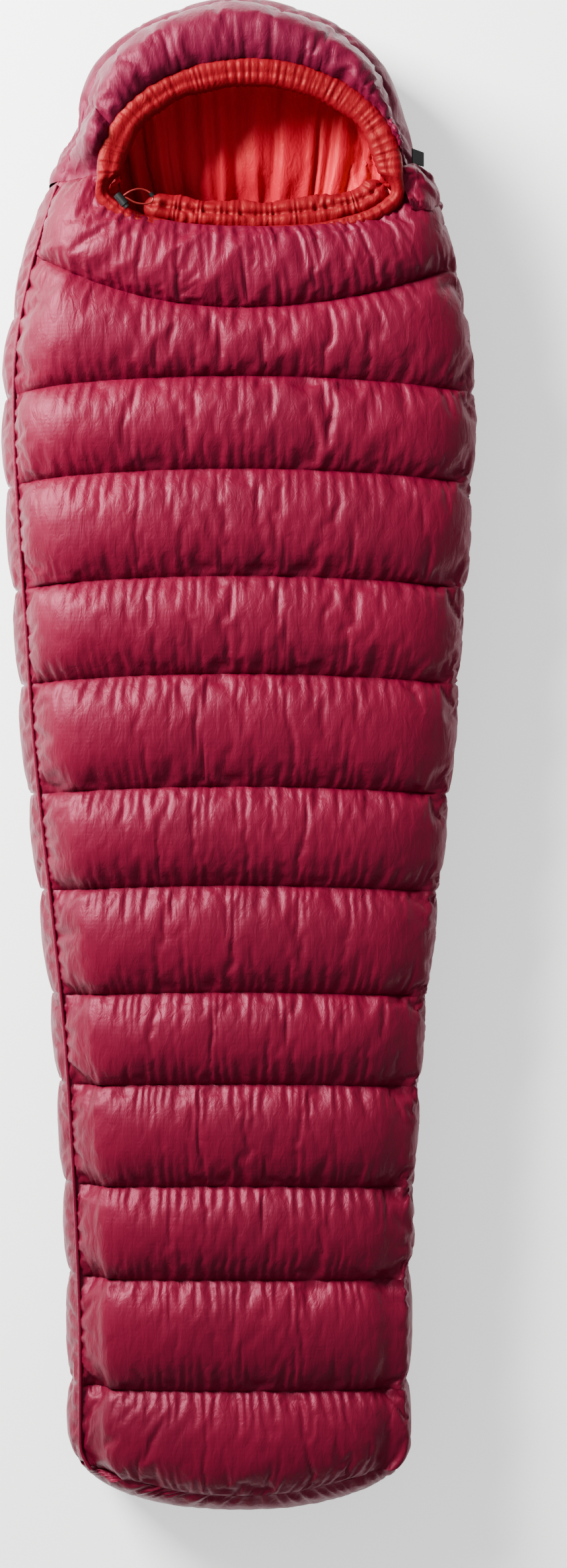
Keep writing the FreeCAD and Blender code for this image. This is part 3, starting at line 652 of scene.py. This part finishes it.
def hood_rows(turns, fall_at, m):
    """Fabric from the opening's edge over the padding to the back seam, one section per angle."""
    top = CROWN[1].z
    side = [front_at(OPEN_Y, j, 1) for j in range(COLUMNS)]
    left = np.array(sorted([-x, z] for x, z in side if x < -0.1))
    right = np.array(sorted([x, z] for x, z in side if x > 0.1 and z > EDGE_Z))
    sections = []
    for turn, fall in zip(turns, fall_at):
        x, y, nx, ny, reach = hood_ray(turn)
        band = seam_band(turn)
        sink = 0.016 * fall
        flat = reach - band
        profile = [(0, HEM_TOP - 0.003), (0.007, HEM_TOP + 0.007 - sink * 0.4), (0.30 * flat, top - sink),
                   (0.62 * flat, top - 0.006 - sink), (flat - 0.014, top - 0.031 - sink * 0.7),
                   (flat - 0.003, 0.148), (flat, EDGE_Z)]
        line = resample(profile, m)
        near = 1 - smooth(min(turn, math.pi - turn) / math.radians(16))
        edge = left if turn > 1 else right
        section = []
        for r, z in line:
            px, py = x + nx * r, y + ny * r
            section.append((px, py, (1 - near) * z + near * np.interp(abs(px), edge[:, 0], edge[:, 1])))
        sections.append(section)
    return np.array(sections).transpose(1, 0, 2)


def make_hood_top():
    """The crown and the two cheeks, from the gathered edge of the opening to the back seam."""
    m = 30
    parts = (
        ("crown_panel", SEAM_TURN_RIGHT, SEAM_TURN, ["hood_crown_chamber"]),
        ("left_cheek_panel", SEAM_TURN, math.pi, ["hood_cheeks"]),
        ("right_cheek_panel", 0.0, SEAM_TURN_RIGHT, ["hood_cheeks"]),
    )
    for seed, (name, start, end, nodes) in enumerate(parts):
        turns = even_turns(start, end, 0.0042)
        v = np.linspace(0, 1, len(turns))
        rate = 8 if name == "crown_panel" else 4
        edges = np.array([1 - min(1.0, rate * t * (1 - t)) ** 0.6 for t in v])
        rows = puckered(hood_rows(turns, edges, m), 0.0036, 0.016, 60 + seed, 0.032, (0,))
        rows = puckered(rows, 0.0018, 0.019, 64 + seed, 0.020, (-1,))
        obj = grid_object(name, ruffle(rows, 0.0008, 60 + seed), HOOD)
        as_cloth(obj, border(m, len(turns)), 0.06, cap=0.004 if name == "right_cheek_panel" else 0.013)
        panel(obj, nodes)


def make_hood_back():
    """The hood's lower wall, from the back seam down and in under the bag."""
    turns = even_turns(0.0, math.pi, 0.006, 0.07)
    sections = []
    for turn in turns:
        x, y, nx, ny, d = hood_ray(turn)
        band = seam_band(turn)
        profile = [(d - band, EDGE_Z), (d - 0.004, 0.108), (d, 0.072), (d - 0.002, 0.036),
                   (d - 0.010, 0.011), (d - 0.026, 0.0012), (d - 0.07, 0.001)]
        sections.append([(x + nx * r, y + ny * r, z) for r, z in resample(profile, 34)])
    rows = np.array(sections).transpose(1, 0, 2)
    obj = grid_object("hood_back_panel", ruffle(rows, 0.0008, 70), HOOD)
    as_cloth(obj, border(34, len(turns)), 0.07, cap=0.010)
    panel(obj, ["hood_back_chamber"])


def lip(x):
    """The edge of the yoke at x: the lower half of the face opening, or the hood seam beside it."""
    across = abs(x - OPEN_X) / (OPEN_HALF + 0.004)
    if across >= 1:
        return OPEN_Y
    power = 2 / LIP_POWER
    return OPEN_Y - (OPEN_BOTTOM + 0.004) * (1 - across**power) ** (1 / power)


def make_yoke():
    """The front of the neck, from the lip of the opening down to the curved yoke seam."""
    n = 40
    rows = np.zeros((n, COLUMNS, 3))
    for j in range(COLUMNS):
        head = lip(front_at(OPEN_Y, j, 1)[0])
        for i, v in enumerate(np.linspace(0, 1, n)):
            y = head * (1 - v) + SEAM_LINES[0, j] * v
            x, z = front_at(y, j, 1 - swell(v))
            rows[i, j] = x, y, z
    rows = puckered(rows, 0.0030, 0.015, 80, 0.026)
    obj = grid_object("yoke_panel", ruffle(rows, 0.0008, 80), SHELL)
    as_cloth(obj, border(n, COLUMNS), 0.06)
    panel(obj, ["yoke_chamber"])


def make_hem():
    """The drawcord channel round the opening: a band of lining, gathered all along."""
    turns = even_turns(-0.5 * math.pi, 1.5 * math.pi, 0.0016)
    reach = lengths([on_opening(t)[:2] for t in turns])
    sections = []
    for turn, at in zip(turns, reach):
        wide = 0.42 + 0.58 * smooth((math.sin(turn) + 0.25) / 0.35)
        wide *= 1 + 0.20 * noise.noise(Vector((at / 0.06, 3.0, 0.0)))
        tuck = hem_tuck(turn)
        profile = [(0.009, -0.012), (0.0085, 0.0), (0.001, 0.0045), (-0.006 * wide, 0.0042),
                   (-0.0125 * wide, 0.0020), (-0.0185 * wide, 0.0022), (-0.0262 * wide, -0.003),
                   (-0.0285 * wide, -0.011), (-0.024 * wide, -0.020)]
        ridge = gather(at, 0.0125, 1.0) + 0.45 * gather(at, 0.0066, 5.0)
        line = []
        for k, (out, up) in enumerate(resample(profile, 26)):
            share = k / 25
            fold = 0.0012 * ridge * (0.25 + 1.2 * share)
            x, y = on_opening(turn, out + fold * 0.55 * share + 0.014 * tuck)[:2]
            line.append((x, y, HEM_TOP + up + fold * (1 - 0.4 * share) - 0.011 * tuck))
        sections.append(line)
    obj = grid_object("hem_band", sections, HEM_PAINTED_SHADE)
    panel(obj, ["hood_hem"])


def hem_tuck(turn):
    """1 along the lower lip, where the hem is folded down under the yoke, and 0 elsewhere."""
    return 1 - smooth((math.sin(turn) + 0.34) / 0.30)


def make_hem_drawcord():
    """The drawcord inside the gathered hem."""
    line = []
    for turn in even_turns(-0.5 * math.pi, 1.5 * math.pi, 0.004):
        tuck = hem_tuck(turn)
        x, y = on_opening(turn, 0.003 + 0.014 * tuck)[:2]
        line.append((x, y, HEM_TOP - 0.006 - 0.011 * tuck))

    def ring(share, at, angle):
        return 0.00125 + 0.0001 * math.sin(2 * math.pi * at / 0.003)

    obj = tube_object("hem_drawcord", line, ring, CORD)
    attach(obj, "bag")
    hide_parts("hood_drawcord")


def make_hood_lining():
    """The lining seen inside the hood: down from the hem, and fanned over the padding behind the head."""
    turns = even_turns(math.radians(-14), math.radians(194), 0.0045)
    neck_y = YOKE[0].y + 0.055
    m = 60
    sections = []
    for j, turn in enumerate(turns):
        share = j / (len(turns) - 1)
        x1, y1 = OPEN_X + (0.5 - share) * 0.36, neck_y
        path = []
        for out, z in ((-0.022, 0.170), (-0.006, 0.158), (0.010, 0.128), (0.006, 0.096), (-0.016, 0.076)):
            x, y = on_opening(turn, out)[:2]
            y = max(y, neck_y + 0.02)
            room = half_width(y) - 0.042
            path.append((min(room, max(-room, x)), y, z))
        xs, ys, _ = path[-1]
        for t, z in ((0.25, 0.0715), (0.5, 0.073), (0.75, 0.0715), (1.0, 0.066)):
            path.append((xs + (x1 - xs) * t, ys + (y1 - ys) * t, z))
        line = resample(path, m)
        ridge = gather(share, 0.115, 11.0) + 0.40 * gather(share, 0.047, 15.0)
        for i, (x, y, z) in enumerate(line):
            along = i / (m - 1)
            line[i][2] = z + 0.0095 * ridge * smooth(along / 0.3) * smooth((1 - along) / 0.35)
        sections.append(line)
    rows = np.array(sections).transpose(1, 0, 2)
    obj = grid_object("hood_lining", ruffle(rows, 0.001, 90), LINING_PAINTED_LIGHT, -from_axis(rows))
    as_cloth(obj, border(m, len(turns)), 0.085, 1.0, 0.016)
    panel(obj, ["hood_liner"])


def tube_object(name, centre, ring, material):
    """A tube along a line. ring(share, at, angle) gives its radius; angle 90 degrees is up."""
    centre = np.asarray(centre, float)
    reach = lengths(centre)
    around = np.linspace(0, 2 * math.pi, 37)
    tangents = np.gradient(centre, axis=0)
    rows = []
    for point, tangent, at in zip(centre, tangents, reach):
        side = np.cross(tangent, (0, 0, 1.0))
        side /= np.linalg.norm(side)
        up = np.cross(side, tangent / np.linalg.norm(tangent))
        row = []
        for angle in around:
            r = ring(at / reach[-1], at, angle)
            row.append(point + (side * math.cos(angle) + up * math.sin(angle)) * r)
        rows.append(row)
    rows = np.array(rows)
    return grid_object(name, rows, material, rows - centre[:, None])


def make_collar():
    """The draft collar: a puffy tube across the neck, drawn in along its cord."""
    low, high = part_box("collar_cord")
    cord_y, side_y = low.y + 0.0018, high.y
    middle = (low.x + high.x) / 2
    half = (high.x - low.x) / 2
    z = (low.z + high.z) / 2
    line = [(middle + half * t, cord_y + (side_y - cord_y) * t * t, z) for t in np.linspace(-1, 1, 25)]
    line += [(high.x + 0.020, side_y + 0.010, z + 0.004), (high.x + 0.038, side_y + 0.030, z + 0.008)]
    centre = resample(line, 300)

    def ring(share, at, angle):
        puff = gather(at, 0.021, 21.0 + math.cos(angle)) + 0.6 * gather(at, 0.0095, 25.0)
        groove = math.exp(-(((angle - math.radians(99)) / 0.26) ** 2))
        lobes = 1 + 0.10 * math.cos(2 * (angle - math.radians(10)))
        ends = min(1.0, share / 0.05, (1 - share) / 0.04) ** 0.5
        swellings = 1 + 0.24 * noise.noise(Vector((at / 0.032, 2.0, 1.4 * math.sin(angle))))
        return ends * (0.0205 * lobes * swellings - 0.0060 * groove + 0.0017 * puff * (0.5 + groove))

    obj = tube_object("draft_collar_pad", centre, ring, HEM_PAINTED_SHADE)
    panel(obj, ["draft_collar"])


def make_foot_panel():
    """The end of the foot box, from the curved last seam over to the floor."""
    n = 28
    deep = FOOT_CORNER - LOW.y
    start = math.asin(((FOOT_CORNER - SEAM_LINES[-1, 0]) / deep) ** (1 / FOOT_POWER))
    columns = []
    for j in range(COLUMNS):
        y = SEAM_LINES[-1, j]
        x, z = front_at(y, j, 1)
        angle = start + (math.pi - 2 * start) * j / (COLUMNS - 1)
        oy = FOOT_CORNER - deep * math.sin(angle) ** FOOT_POWER
        ox = math.copysign(half_width(oy), math.cos(angle))
        middle = math.sin(math.pi * j / (COLUMNS - 1)) ** 0.5
        over = (x + (ox - x) * 0.60, y + (oy - y) * 0.60, 0.5 * z + 0.062 - 0.006 * (1 - middle))
        line = [(x, y, z), over, (ox, oy, 0.070), (ox * 0.995, oy + 0.002, 0.034),
                (ox * 0.97, oy + 0.010, 0.010), (ox * 0.90, oy + 0.030 * middle, 0.0015),
                (ox * 0.80, oy + 0.055 * middle, 0.001)]
        columns.append(resample(line, n))
    rows = puckered(np.array(columns).transpose(1, 0, 2), 0.0026, 0.017, 95, 0.025, (0,))
    obj = grid_object("foot_panel", ruffle(rows, 0.0008, 95), SHELL)
    as_cloth(obj, border(n, COLUMNS), 0.05, cap=0.009)
    panel(obj, ["foot_end_panel"])


def make_underside():
    """The backs of the chambers, pressed flat against the ground between their seams."""
    stations = [CROWN[1].y - 0.02, CHEEKS[0].y, *SEAMS]
    nodes = ["hood_back_chamber", "neck_back_chamber"]
    nodes += [f"back_chamber_{k:02d}" for k in range(1, CHAMBERS + 1)]
    for k, (y0, y1, node) in enumerate(zip(stations, stations[1:], nodes)):
        n, m = int((y0 - y1) / 0.006) + 2, 91
        rows = np.zeros((n, m, 3))
        for i, v in enumerate(np.linspace(0, 1, n)):
            y = y0 + (y1 - y0) * v
            w = max(0.02, half_width(y) - 0.062)
            dip = 1 - swell(v)
            for j, u in enumerate(np.linspace(-1, 1, m)):
                pucker = gather(u * w + 0.3, 0.019, 30.0 + k) * math.exp(-min(v, 1 - v) / 0.16)
                z = 0.0012 + 0.009 * dip + 0.0012 * max(0.0, pucker) + 0.0006 * dip * pucker
                rows[i, j] = u * w, y, z
        name = "hood_underside" if k == 0 else "neck_underside" if k == 1 else f"back_panel_{k - 1:02d}"
        obj = grid_object(name, rows, SHELL)
        panel(obj, [node])


def make_baffles():
    """Net walls under the cross seams, which hold the front and back layers at their thickness."""
    rows_of = []
    for k in range(CHAMBERS + 1):
        top, foot = [], []
        for j in range(26, COLUMNS - 16, 2):
            y = SEAM_LINES[k, j]
            x, z = front_at(y, j, 1)
            top.append((x * 0.985, y, z - 0.006))
            foot.append((x * 0.985, y, 0.1135))
        top, foot = np.array(top), np.array(foot)
        rows_of.append(np.array([top + (foot - top) * t for t in np.linspace(0, 1, 5)]))
    verts, faces = [], []
    for rows in rows_of:
        n, m = rows.shape[:2]
        base = len(verts)
        verts += rows.reshape(-1, 3).tolist()
        for i in range(n - 1):
            for j in range(m - 1):
                a = base + i * m + j
                faces.append((a, a + 1, a + m + 1, a + m))
    mesh = bpy.data.meshes.new("baffle_net_walls")
    mesh.from_pydata(verts, [], faces)
    mesh.materials.append(NET)
    obj = bpy.data.objects.new("baffle_net_walls", mesh)
    bpy.context.scene.collection.objects.link(obj)
    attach(obj, "bag")
    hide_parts("baffle_walls")


def make_piping():
    """Bound edge of the long seam, on the side away from the zip, up to the hood."""
    ys = np.linspace(SEAMS[-1] + 0.03, CHEEKS[0].y - 0.01, 700)
    centre = [(EDGE_IN - half_width(y) - 0.001, y, EDGE_Z + 0.0015) for y in ys]

    def ring(share, at, angle):
        return 0.0027 + 0.00018 * math.sin(2 * math.pi * at / 0.0042)

    obj = tube_object("long_seam_binding", centre, ring, SHELL)
    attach(obj, "bag")
    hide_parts("side_seam_binding")


def make_garage_flap():
    """A soft folded flap over the head end of the zip."""
    m, n = 40, 34
    low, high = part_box("zip_garage_flap")
    y_foot, y_head = low.y - 0.006, high.y + 0.024
    rows = np.zeros((n, m, 3))
    for i, v in enumerate(np.linspace(0, 1, n)):
        y = y_foot + (y_head - y_foot) * v
        w = half_width(y) + 0.004
        arc = [(w - 0.052, 0.181), (w - 0.030, 0.170), (w - 0.012, 0.150), (w - 0.001, 0.128),
               (w + 0.001, 0.111)]
        line = resample(arc, m)
        for j, (x, z) in enumerate(line):
            u = j / (m - 1)
            edge = max(0.0, math.sin(math.pi * v) * math.sin(math.pi * min(1.0, u + 0.12))) ** 0.35
            puff = 0.017 * edge - 0.008
            fold = 0.0048 * math.sin(10 * v + 6 * u + 2.5 * noise.noise(Vector((u * 2, v * 2, 7.0))))
            rows[i, j] = x + (puff + fold * 0.6) * u, y, z + (puff + fold) * (1 - u)
    obj = grid_object("garage_flap", rows, SHELL)
    as_cloth(obj, border(n, m), 0.12, 2.0, 0.010)
    panel(obj, ["zip_garage_flap"])


def make_cord():
    """The drawcord's free loop out of the cord lock."""
    curve = bpy.data.curves.new("drawcord", "CURVE")
    curve.dimensions = "3D"
    spline = curve.splines.new("NURBS")
    spline.points.add(len(LOOP_ROUTE) - 1)
    for point, (x, y, z) in zip(spline.points, LOOP_ROUTE):
        point.co = (x * MM, y * MM, z * MM, 1.0)
    spline.order_u = 3
    spline.use_endpoint_u = True
    curve.bevel_depth = LOOP_DIAMETER / 2
    curve.bevel_resolution = 4
    curve.resolution_u = 8
    curve.materials.append(CORD)
    cord = bpy.data.objects.new("drawcord", curve)
    bpy.context.scene.collection.objects.link(cord)
    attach(cord, "bag")
    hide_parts("drawcord_loop")


def make_lock_spring():
    """The coil spring behind the lock's button, which shortens as the button goes in."""
    low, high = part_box("cord_lock_spring")
    middle = (np.array(low) + np.array(high)) / 2
    along = np.array([math.cos(LOCK_ANGLE), math.sin(LOCK_ANGLE), 0.0])
    across = np.array([-math.sin(LOCK_ANGLE), math.cos(LOCK_ANGLE), 0.0])
    stations = np.linspace(0, 1, 28 * SPRING_TURNS + 1)
    angles = np.linspace(0, 2 * math.pi, 13)
    rows, centres = [], []
    for share in stations:
        turn = 2 * math.pi * SPRING_TURNS * share
        out = across * math.cos(turn) + np.array([0, 0, math.sin(turn)])
        centre = middle + along * SPRING_LENGTH * (share - 0.5) + out * SPRING_R
        wire = SPRING_WIRE_R if 0 < share < 1 else 0.2 * SPRING_WIRE_R
        rows.append([centre + (out * math.cos(a) + along * math.sin(a)) * wire for a in angles])
        centres.append(centre)
    rows = np.array(rows)
    obj = grid_object("lock_spring", rows, STEEL, rows - np.array(centres)[:, None])
    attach(obj, "bag")
    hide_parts("cord_lock_spring")
    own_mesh(obj)


def finish_nodes():
    """The factory's finishes on the CAD pieces that show as they are."""
    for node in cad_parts.values():
        materials = node.data.materials
        for i, material in enumerate(materials):
            materials[i] = FINISHES[material.name]


def make_floor():
    bpy.ops.mesh.primitive_plane_add(size=14, location=(0, 0, -0.0005))
    floor = bpy.context.object
    floor.name = "floor"
    floor.data.materials.append(PAPER)


make_camera()
make_lights()
make_floor()
finish_nodes()
make_cord()
make_lock_spring()
make_front_chambers()
make_side_chambers(-1, "left_side_chambers", "left_side_panels")
make_side_chambers(1, "right_side_chambers", "right_side_panels")
make_yoke()
make_hood_top()
make_hood_back()
make_hood_lining()
make_hem()
make_hem_drawcord()
make_collar()
make_foot_panel()
make_underside()
make_baffles()
make_piping()
make_garage_flap()
simulate()
